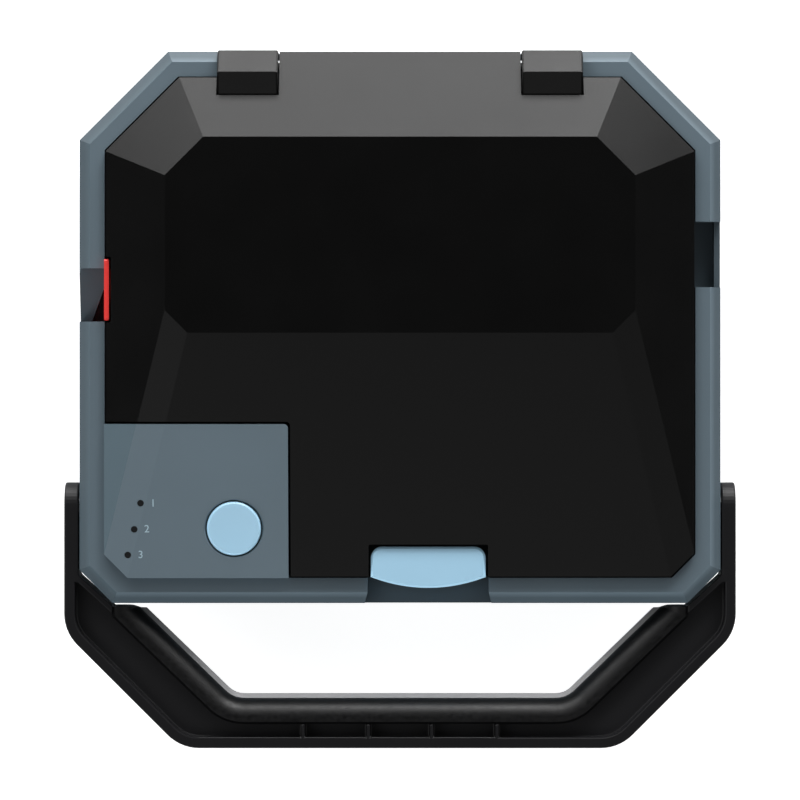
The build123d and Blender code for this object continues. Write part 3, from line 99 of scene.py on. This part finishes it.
def new_material(name):
    """Empty node material with its shader joined to the output."""
    material = bpy.data.materials.new(name)
    material.use_nodes = True
    tree = material.node_tree
    tree.nodes.clear()
    shader = tree.nodes.new("ShaderNodeBsdfPrincipled")
    output = tree.nodes.new("ShaderNodeOutputMaterial")
    tree.links.new(shader.outputs["BSDF"], output.inputs["Surface"])
    return material, tree, shader


def noise(tree, scale, detail=4.0, stretch=(1, 1, 1)):
    """Noise in object space, so that it stays on the moving piece."""
    place = tree.nodes.new("ShaderNodeTexCoord")
    sizing = tree.nodes.new("ShaderNodeMapping")
    sizing.inputs["Scale"].default_value = stretch
    texture = tree.nodes.new("ShaderNodeTexNoise")
    texture.inputs["Scale"].default_value = scale
    texture.inputs["Detail"].default_value = detail
    tree.links.new(place.outputs["Object"], sizing.inputs["Vector"])
    tree.links.new(sizing.outputs["Vector"], texture.inputs["Vector"])
    return texture.outputs["Fac"]


def spread(tree, value, low, high, span=(0.3, 0.7), curve="LINEAR"):
    """Carries a value from a span, by default a noise's, to a range of numbers."""
    change = tree.nodes.new("ShaderNodeMapRange")
    change.interpolation_type = curve
    change.inputs["From Min"].default_value = span[0]
    change.inputs["From Max"].default_value = span[1]
    change.inputs["To Min"].default_value = low
    change.inputs["To Max"].default_value = high
    tree.links.new(value, change.inputs["Value"])
    return change.outputs["Result"]


def blend_colours(tree, factor, first, second):
    """Mixes two colours, or colour outputs, by a factor output."""
    mix = tree.nodes.new("ShaderNodeMix")
    mix.data_type = "RGBA"
    tree.links.new(factor, mix.inputs["Factor"])
    for socket, colour in ((mix.inputs[6], first), (mix.inputs[7], second)):
        if hasattr(colour, "links"):
            tree.links.new(colour, socket)
        else:
            socket.default_value = colour
    return mix.outputs[2]


def bump(tree, shader, height, strength, distance):
    """Surface relief from a height output."""
    relief = tree.nodes.new("ShaderNodeBump")
    relief.inputs["Strength"].default_value = strength
    relief.inputs["Distance"].default_value = distance
    tree.links.new(height, relief.inputs["Height"])
    tree.links.new(relief.outputs["Normal"], shader.inputs["Normal"])


def scaled(colour, amount):
    """The same colour, lighter or darker."""
    return tuple(min(1.0, channel * amount) for channel in colour[:3]) + (1.0,)


def by_height(tree, below, above, span):
    """Colour that changes from one to another between two heights in object space."""
    place = tree.nodes.new("ShaderNodeTexCoord")
    parts = tree.nodes.new("ShaderNodeSeparateXYZ")
    tree.links.new(place.outputs["Object"], parts.inputs["Vector"])
    rise = spread(tree, parts.outputs["Z"], 0.0, 1.0, span)
    return blend_colours(tree, rise, below, above)


def moulded(name, colour, rough=0.45, grain=SPARK_SCALE, relief=0.08, coat=0.0, specular=0.5):
    """Moulded plastic: fine spark texture with a faint cloudiness."""
    material, tree, shader = new_material(name)
    cloud = noise(tree, CLOUD_SCALE, 3.0)
    body = blend_colours(tree, spread(tree, cloud, 0.0, 1.0), scaled(colour, 0.975),
                         scaled(colour, 1.025))
    tree.links.new(body, shader.inputs["Base Color"])
    fine = noise(tree, grain, 2.0)
    smear = noise(tree, SMEAR_SCALE, 5.0)
    tree.links.new(spread(tree, smear, rough - 0.02, rough + 0.03), shader.inputs["Roughness"])
    shader.inputs["Specular IOR Level"].default_value = specular
    shader.inputs["Coat Weight"].default_value = coat
    shader.inputs["Coat Roughness"].default_value = 0.2
    bump(tree, shader, fine, relief, SPARK_DEPTH)
    return material


def metal(name, colour, rough):
    """Drawn or brushed metal with streaks along its working direction."""
    material, tree, shader = new_material(name)
    shader.inputs["Metallic"].default_value = 1.0
    streak = noise(tree, 500.0, 5.0, (1, 1, 60))
    tint = blend_colours(tree, spread(tree, streak, 0.0, 1.0), scaled(colour, 0.82),
                         scaled(colour, 1.08))
    tree.links.new(tint, shader.inputs["Base Color"])
    tree.links.new(spread(tree, streak, rough - 0.08, rough + 0.12), shader.inputs["Roughness"])
    bump(tree, shader, streak, 0.08, STREAK_DEPTH)
    return material


def rubber(name, colour, rough=0.75):
    """Rubber or soft-touch surface with a fine dusty grain."""
    material, tree, shader = new_material(name)
    dust = noise(tree, DUST_SCALE, 6.0)
    tint = blend_colours(tree, spread(tree, dust, 0.0, 1.0), scaled(colour, 0.85),
                         scaled(colour, 1.2))
    tree.links.new(tint, shader.inputs["Base Color"])
    tree.links.new(spread(tree, dust, rough - 0.08, rough + 0.08), shader.inputs["Roughness"])
    shader.inputs["Specular IOR Level"].default_value = 0.35
    bump(tree, shader, dust, 0.12, DUST_DEPTH)
    return material


def base_colour(material):
    """Socket of a material's colour, and the output that feeds it."""
    socket = material.node_tree.nodes["Principled BSDF"].inputs["Base Color"]
    return socket, socket.links[0].from_socket


def grip_surface():
    """Soft grip, with a painted highlight on the lip that runs round the opening at its middle
    height.
    """
    material = rubber("grip_rubber", GRIP, 0.42)
    tree = material.node_tree
    socket, dark = base_colour(material)
    # Painted highlight: the lip's band of heights takes the pale grey
    highlight_above = by_height(tree, dark, LIP_PAINTED_HIGHLIGHT, LIP_HIGHLIGHT_START)
    tree.links.new(by_height(tree, highlight_above, dark, LIP_HIGHLIGHT_END), socket)
    return material


def handle_surface():
    """Handle plastic, with painted light that makes it a little paler below the pocket rims, on
    the floor of its pockets.
    """
    material = moulded("handle_plastic", HANDLE, 0.42, 6000.0, 0.1, specular=0.25)
    tree = material.node_tree
    socket, plain = base_colour(material)
    # Painted light: below the pocket rims the handle takes the paler colour
    tree.links.new(by_height(tree, HANDLE_PAINTED_LIGHT, plain, POCKET_LIGHT_END), socket)
    return material


def vector_step(tree, operation, first, second=None):
    """One vector calculation on an output, with a fixed second vector where it has one."""
    step = tree.nodes.new("ShaderNodeVectorMath")
    step.operation = operation
    tree.links.new(first, step.inputs[0])
    if second is not None:
        step.inputs[1].default_value = second
    return step.outputs


def wound_paper():
    """Label paper, with the fine rings of its turns on the ends of the roll."""
    material, tree, shader = new_material("label_paper")
    roll, _ = middle("label_roll")
    place = tree.nodes.new("ShaderNodeTexCoord")
    centred = vector_step(tree, "SUBTRACT", place.outputs["Object"], (roll.x, roll.y, 0))
    flat = vector_step(tree, "MULTIPLY", centred["Vector"], (1, 1, 0))
    radius = vector_step(tree, "LENGTH", flat["Vector"])
    turns = tree.nodes.new("ShaderNodeTexNoise")
    turns.noise_dimensions = "1D"
    turns.inputs["Scale"].default_value = TURNS_SCALE
    turns.inputs["Detail"].default_value = 2.0
    tree.links.new(radius["Value"], turns.inputs["W"])
    tint = blend_colours(tree, spread(tree, turns.outputs["Fac"], 0.0, 1.0),
                         scaled(PAPER, 0.62), PAPER)
    tree.links.new(tint, shader.inputs["Base Color"])
    shader.inputs["Roughness"].default_value = 0.7
    bump(tree, shader, turns.outputs["Fac"], 0.3, TURNS_DEPTH)
    return material


def slate():
    """Slate shell plastic, paler on the control panel, with painted shade on its left side."""
    material, tree, shader = new_material("slate_plastic")
    place = tree.nodes.new("ShaderNodeTexCoord")
    facing = tree.nodes.new("ShaderNodeSeparateXYZ")
    tree.links.new(place.outputs["Normal"], facing.inputs["Vector"])
    # Painted shade: surfaces of the panel that face left take the darker slate
    top = spread(tree, facing.outputs["X"], 0.0, 1.0, PANEL_SHADE_FACING)
    panel = blend_colours(tree, top, SLATE_PAINTED_SHADE, SLATE_PANEL)
    plain = by_height(tree, SLATE, panel, PANEL_START)
    cloud = spread(tree, noise(tree, CLOUD_SCALE, 3.0), 0.97, 1.03)
    tone = tree.nodes.new("ShaderNodeHueSaturation")
    tree.links.new(plain, tone.inputs["Color"])
    tree.links.new(cloud, tone.inputs["Value"])
    tree.links.new(tone.outputs["Color"], shader.inputs["Base Color"])
    smear = noise(tree, SMEAR_SCALE, 5.0)
    tree.links.new(spread(tree, smear, 0.48, 0.53), shader.inputs["Roughness"])
    shader.inputs["Specular IOR Level"].default_value = 0.4
    bump(tree, shader, noise(tree, SPARK_SCALE, 2.0), 0.08, SPARK_DEPTH)
    return material


def middle(node):
    """Centre of a node in plan, and half its width."""
    low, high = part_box(node)
    return Vector(((low[0] + high[0]) / 2, (low[1] + high[1]) / 2)), (high[0] - low[0]) / 2


MATERIALS = {
    "slate_plastic": slate(),
    "lid_plastic": moulded("lid_plastic", srgb(11, 11, 11), 0.24, 7000.0, 0.04, specular=0.22),
    "deck_plastic": moulded("deck_plastic", srgb(58, 61, 64), 0.6, 5000.0, 0.15),
    "handle_plastic": handle_surface(),
    "grip_rubber": grip_surface(),
    "blue_plastic": moulded("blue_plastic", BLUE, 0.36, relief=0.04),
    "red_plastic": moulded("red_plastic", RED, 0.36, relief=0.04),
    "foot_rubber": rubber("foot_rubber", srgb(26, 26, 27)),
    "roller_rubber": rubber("roller_rubber", srgb(38, 38, 40), 0.6),
    "guide_plastic": moulded("guide_plastic", srgb(205, 206, 204), 0.35),
    "steel": metal("steel", srgb(196, 198, 200), 0.3),
    "bronze": metal("bronze", srgb(186, 146, 92), 0.35),
    "gear_plastic": moulded("gear_plastic", srgb(226, 222, 208), 0.4),
    "motor_metal": metal("motor_metal", srgb(92, 93, 96), 0.42),
    "head_ceramic": moulded("head_ceramic", srgb(205, 196, 176), 0.2, coat=0.3),
    "sink_aluminium": metal("sink_aluminium", srgb(205, 207, 210), 0.34),
    "cartridge_plastic": moulded("cartridge_plastic", srgb(118, 126, 134), 0.32, coat=0.1),
    "ribbon_film": moulded("ribbon_film", srgb(22, 21, 24), 0.16, 4000.0, 0.02, coat=0.4),
    "label_paper": wound_paper(),
    "core_board": moulded("core_board", srgb(170, 138, 98), 0.8, 2500.0, 0.3),
    "circuit_board": moulded("circuit_board", srgb(20, 84, 48), 0.3, 3000.0, 0.05, coat=0.3),
    "battery_wrap": moulded("battery_wrap", srgb(36, 66, 124), 0.3, 3000.0, 0.05, coat=0.3),
    "switch_plastic": moulded("switch_plastic", srgb(34, 34, 36), 0.5),
    "lens_plastic": moulded("lens_plastic", srgb(8, 10, 12), 0.45, 6000.0, 0.02, specular=0.25),
}

# Rounded edges of the flat-sided nodes, as widths in mm
FACETED = {"upper_shell": 0.4, "base_shell": 0.35, "lid_shell": 0.2, "handle_frame": 0.4,
           "hinge_knuckle_left": 0.35, "hinge_knuckle_right": 0.35, "inner_deck": 0.15,
           "exit_guard": 0.1, "cutter_holder": 0.15, "mech_frame": 0.15, "head_sink": 0.1,
           "latch_hook": 0.1, "print_head": 0.1}
EDGE_ANGLE = math.radians(24)
WELD_GAP = 0.002 * MM


def dress_node(node, material, edge):
    """Gives a CAD node its material and, on flat-sided pieces, small rounded edges."""
    node.data.materials.clear()
    node.data.materials.append(material)
    if not edge:
        return
    for polygon in node.data.polygons:
        polygon.use_smooth = False
    weld = node.modifiers.new("join_faces", "WELD")
    weld.merge_threshold = WELD_GAP
    rounding = node.modifiers.new("edge_round", "BEVEL")
    rounding.width = edge
    rounding.segments = 2
    rounding.limit_method = "ANGLE"
    rounding.angle_limit = EDGE_ANGLE


def dress_nodes():
    """Every node, with the material of its slot in the record."""
    for part in frame["record"]["subparts"]:
        name = part["node"]
        dress_node(nodes[name], MATERIALS[part["material_slot"]], FACETED.get(name, 0) * MM)


# Printed numerals beside the indicator lenses
LENS_RADIUS = 0.9 * MM
LENS_COUNT = 3
NUMERAL_OFFSET = 3.4 * MM
NUMERAL_SIZE = 2.9 * MM
PRINT_RISE = 0.03 * MM
SLOPE_STEP = 1.0 * MM

# Strip of label tape
STRIP_THICK = 0.2 * MM
STRIP_TAIL = 4.0 * MM
GUIDE_STEPS = 12

# Screws on the inner deck; the places are in mm
SCREW_PLACES = ((-62, 62), (62, 66), (71, -34), (-14, -37), (-14, 16), (72, 42))
SCREW_RADIUS = 2.7 * MM
SCREW_HEIGHT = 1.5 * MM
SCREW_TURN = 0.7
SCREW_SIDES = 32
RAY_HEIGHT = 200.0 * MM


def surface_height(node, x, y):
    """Height of a node's top surface over a point of the plan."""
    hit, spot, _, _ = node.ray_cast(Vector((x, y, RAY_HEIGHT)), Vector((0, 0, -1)))
    return spot.z if hit else 0.0


def new_piece(name, data, material, body):
    """Scene piece on a CAD body, with the material it is given."""
    piece = bpy.data.objects.new(name, data)
    data.materials.append(material)
    bpy.context.scene.collection.objects.link(piece)
    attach(piece, body)
    return piece


def numerals():
    """Plain numerals printed beside the indicator lenses, lying on the sloping panel."""
    low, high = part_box("led_lenses")
    first = Vector((high[0] - LENS_RADIUS, high[1] - LENS_RADIUS))
    last = Vector((low[0] + LENS_RADIUS, low[1] + LENS_RADIUS))
    shell = nodes["upper_shell"]
    ink = moulded("panel_ink", PRINT, 0.6)
    for number in range(LENS_COUNT):
        lens = first.lerp(last, number / (LENS_COUNT - 1))
        x = lens.x + NUMERAL_OFFSET
        height = surface_height(shell, x, lens.y)
        rise = surface_height(shell, x, lens.y + SLOPE_STEP) - height
        text = bpy.data.curves.new(f"numeral_{number + 1}", "FONT")
        text.body = str(number + 1)
        text.size = NUMERAL_SIZE
        text.align_x = "CENTER"
        text.align_y = "CENTER"
        text.extrude = PRINT_RISE
        piece = new_piece(text.name, text, ink, "housing")
        piece.location = (x, lens.y, height)
        piece.rotation_euler = (math.atan2(rise, SLOPE_STEP), 0, 0)


def strip_path():
    """Middle line of the label strip: off the roll, round the guide, through the nip."""
    roll, roll_radius = middle("label_roll")
    guide, _ = middle("guide_roller")
    feed_low, feed_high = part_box("feed_roller")
    pinch_low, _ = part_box("pinch_roller")
    nip = (feed_high[1] + pinch_low[1]) / 2
    roll_reach = roll_radius + STRIP_THICK
    guide_reach = nip - guide.y
    run = guide - roll
    start = math.atan2(run.y, run.x) - math.acos((roll_reach - guide_reach) / run.length)
    path = [roll + roll_reach * Vector((math.cos(start), math.sin(start)))]
    for step in range(GUIDE_STEPS + 1):
        turn = start + (math.pi / 2 - start) * step / GUIDE_STEPS
        path.append(guide + guide_reach * Vector((math.cos(turn), math.sin(turn))))
    path.append(Vector((feed_low[0] - STRIP_TAIL, nip)))
    return path


def label_strip():
    """Upright strip of label tape along its path, as wide as the roll less a little."""
    path = strip_path()
    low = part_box("supply_spool")[0][2] + STRIP_THICK
    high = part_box("label_roll")[1][2] - STRIP_THICK
    corners = []
    for index, point in enumerate(path):
        before = path[max(index - 1, 0)]
        after = path[min(index + 1, len(path) - 1)]
        along = (after - before).normalized()
        side = Vector((-along.y, along.x)) * STRIP_THICK / 2
        corners += [(*(point - side), low), (*(point + side), low),
                    (*(point + side), high), (*(point - side), high)]
    faces = [(0, 1, 2, 3), tuple(len(corners) - 1 - index for index in range(4))]
    for first in range(0, len(corners) - 4, 4):
        for edge in range(4):
            after = (edge + 1) % 4
            faces.append((first + after, first + edge, first + edge + 4, first + after + 4))
    mesh = bpy.data.meshes.new("label_strip")
    mesh.from_pydata(corners, [], faces)
    paper = moulded("strip_paper", PAPER, 0.7, 3000.0, 0.1)
    new_piece("label_strip", mesh, paper, "housing")


def screw_mesh(radius, height):
    """Pan head with a cross recess, its foot at height 0."""
    shape = bmesh.new()

    def ring(reach, level):
        turns = (2 * math.pi * step / SCREW_SIDES for step in range(SCREW_SIDES))
        return [shape.verts.new((reach * math.cos(turn), reach * math.sin(turn), level))
                for turn in turns]

    def cross(level):
        arm = radius * 0.56
        half = radius * 0.13
        points = []
        for turn in range(4):
            for x, y in ((arm, -half), (arm, half), (half, half)):
                for _ in range(turn):
                    x, y = -y, x
                points.append(shape.verts.new((x, y, level)))
        return points

    def wall(first, second):
        for index in range(len(first)):
            after = (index + 1) % len(first)
            shape.faces.new((first[index], first[after], second[after], second[index]))

    foot = ring(radius, 0)
    shoulder = ring(radius, height * 0.55)
    top = ring(radius * 0.8, height)
    wall(foot, shoulder)
    wall(shoulder, top)
    recess = cross(height)
    recess_floor = cross(height * 0.35)
    wall(recess, recess_floor)
    shape.faces.new(recess_floor)
    shape.faces.new(list(reversed(foot)))
    outlines = []
    for loop in (top, recess):
        for index, corner in enumerate(loop):
            pair = (corner, loop[(index + 1) % len(loop)])
            outlines.append(shape.edges.get(pair) or shape.edges.new(pair))
    bmesh.ops.triangle_fill(shape, edges=outlines, use_beauty=True)
    bmesh.ops.recalc_face_normals(shape, faces=shape.faces)
    mesh = bpy.data.meshes.new("deck_screw")
    shape.to_mesh(mesh)
    shape.free()
    return mesh


def deck_screws():
    """Screws that hold the deck down, seated on its top."""
    deck = nodes["inner_deck"]
    for number, (x, y) in enumerate(SCREW_PLACES, 1):
        height = surface_height(deck, x * MM, y * MM)
        mesh = screw_mesh(SCREW_RADIUS, SCREW_HEIGHT)
        screw = new_piece(f"deck_screw_{number}", mesh, MATERIALS["steel"], "housing")
        screw.location = (x * MM, y * MM, height)
        screw.rotation_euler = (0, 0, SCREW_TURN * number)


# Surround: a bright ring between the dark horizon and a dark top, as soft boxes hung
# round a product table give. Its axis leans back a little. Heights along that axis
# are sines of the elevation.
RING_AXIS = (0.0, 0.2, 0.98)
RING_START = (0.42, 0.60)
RING_END = (0.74, 0.96)
RING_TURN = (-0.7, 0.7)
RING_FRONT = 0.86
RING_REAR = 1.15
RING_LEFT = 0.15
RING_RIGHT = -0.5
HORIZON = 0.03

# Floor, with the glow that only the camera sees
FLOOR_HALF = 3.0
FLOOR_TONE = (0.86, 0.86, 0.86, 1)
FLOOR_GLOW = 0.78
WHITE = (1, 1, 1, 1)

# Soft boxes: name, place, target, size in metres, watts, and whether reflections show it
PART_MIDDLE = (0, 0.05, 0.04)
SOFT_BOXES = (
    ("rear_box", (-0.03, 1.5, 0.64), PART_MIDDLE, (3.0, 0.6), 29.0, True),
    ("rear_right_box", (0.5, 1.5, 0.64), PART_MIDDLE, (0.5, 0.6), 10.0, True),
    ("rear_low_box", (0.0, 1.5, 0.2), PART_MIDDLE, (2.4, 0.2), 18.0, True),
    ("corner_box_left", (-0.9, -0.9, 0.09), (-0.07, -0.05, 0.05), (0.5, 0.1), 10.0, False),
    ("corner_box_right", (0.9, -0.9, 0.09), (0.07, -0.05, 0.05), (0.5, 0.1), 10.0, False),
)

# Camera: straight above the middle of body and handle, as in the photograph
CAMERA_LENS = 200.0
SENSOR = 36.0
VIEW_WIDTH = 214.7 * MM
RIM_HEIGHT = 53.0 * MM


def ramp(tree, value, span, low=0.0, high=1.0):
    """Smooth rise from low to high while the value crosses the span."""
    return spread(tree, value, low, high, span, "SMOOTHSTEP")


def combine(tree, operation, first, second):
    """Arithmetic on two outputs, or on an output and a number."""
    node = tree.nodes.new("ShaderNodeMath")
    node.operation = operation
    tree.links.new(first, node.inputs[0])
    if hasattr(second, "links"):
        tree.links.new(second, node.inputs[1])
    else:
        node.inputs[1].default_value = second
    return node.outputs[0]


def floor_plane():
    """White floor that the camera sees as plain white."""
    mesh = bpy.data.meshes.new("floor")
    mesh.from_pydata([(-FLOOR_HALF, -FLOOR_HALF, 0), (FLOOR_HALF, -FLOOR_HALF, 0),
                      (FLOOR_HALF, FLOOR_HALF, 0), (-FLOOR_HALF, FLOOR_HALF, 0)],
                     [], [(0, 1, 2, 3)])
    floor = bpy.data.objects.new("floor", mesh)
    bpy.context.scene.collection.objects.link(floor)
    material, tree, shader = new_material("floor_white")
    shader.inputs["Base Color"].default_value = FLOOR_TONE
    shader.inputs["Roughness"].default_value = 0.9
    rays = tree.nodes.new("ShaderNodeLightPath")
    glow = combine(tree, "MULTIPLY", rays.outputs["Is Camera Ray"], FLOOR_GLOW)
    shader.inputs["Emission Color"].default_value = WHITE
    tree.links.new(glow, shader.inputs["Emission Strength"])
    mesh.materials.append(material)


def surround():
    """World light: the ring, stronger at the rear and left."""
    world = bpy.data.worlds.new("surround")
    world.use_nodes = True
    sky = world.node_tree
    background = sky.nodes["Background"]
    place = sky.nodes.new("ShaderNodeTexCoord")
    parts = sky.nodes.new("ShaderNodeSeparateXYZ")
    sky.links.new(place.outputs["Generated"], parts.inputs["Vector"])
    height = vector_step(sky, "DOT_PRODUCT", place.outputs["Generated"], RING_AXIS)["Value"]
    ring = combine(sky, "MULTIPLY", ramp(sky, height, RING_START),
                   ramp(sky, height, RING_END, 1.0, 0.0))
    depth = ramp(sky, parts.outputs["Y"], RING_TURN, RING_FRONT, RING_REAR)
    side = ramp(sky, parts.outputs["X"], RING_TURN, RING_LEFT, RING_RIGHT)
    strength = combine(sky, "MULTIPLY", ring, combine(sky, "ADD", depth, side))
    strength = combine(sky, "ADD", strength, HORIZON)
    sky.links.new(strength, background.inputs["Strength"])
    background.inputs["Color"].default_value = WHITE
    bpy.context.scene.world = world


def area_light(name, place, target, size, power, glossy):
    """Soft box aimed at a point, with or without its own reflection."""
    data = bpy.data.lights.new(name, "AREA")
    data.shape = "RECTANGLE"
    data.size = size[0]
    data.size_y = size[1]
    data.energy = power
    lamp = bpy.data.objects.new(name, data)
    lamp.location = place
    lamp.rotation_euler = (Vector(target) - Vector(place)).to_track_quat("-Z", "Y").to_euler()
    lamp.visible_glossy = glossy
    bpy.context.scene.collection.objects.link(lamp)


def studio():
    """Floor, surround and soft boxes."""
    floor_plane()
    surround()
    for box in SOFT_BOXES:
        area_light(*box)


def camera():
    """Camera straight above, its field as wide as the photograph's at the rim."""
    data = bpy.data.cameras.new("camera")
    data.lens = CAMERA_LENS
    data.sensor_width = SENSOR
    eye = bpy.data.objects.new("camera", data)
    distance = VIEW_WIDTH * CAMERA_LENS / SENSOR
    eye.location = (0, 0, RIM_HEIGHT + distance)
    bpy.context.scene.collection.objects.link(eye)
    bpy.context.scene.camera = eye


dress_nodes()
label_strip()
deck_screws()
numerals()
studio()
camera()
bpy.context.scene.view_settings.view_transform = "Standard"
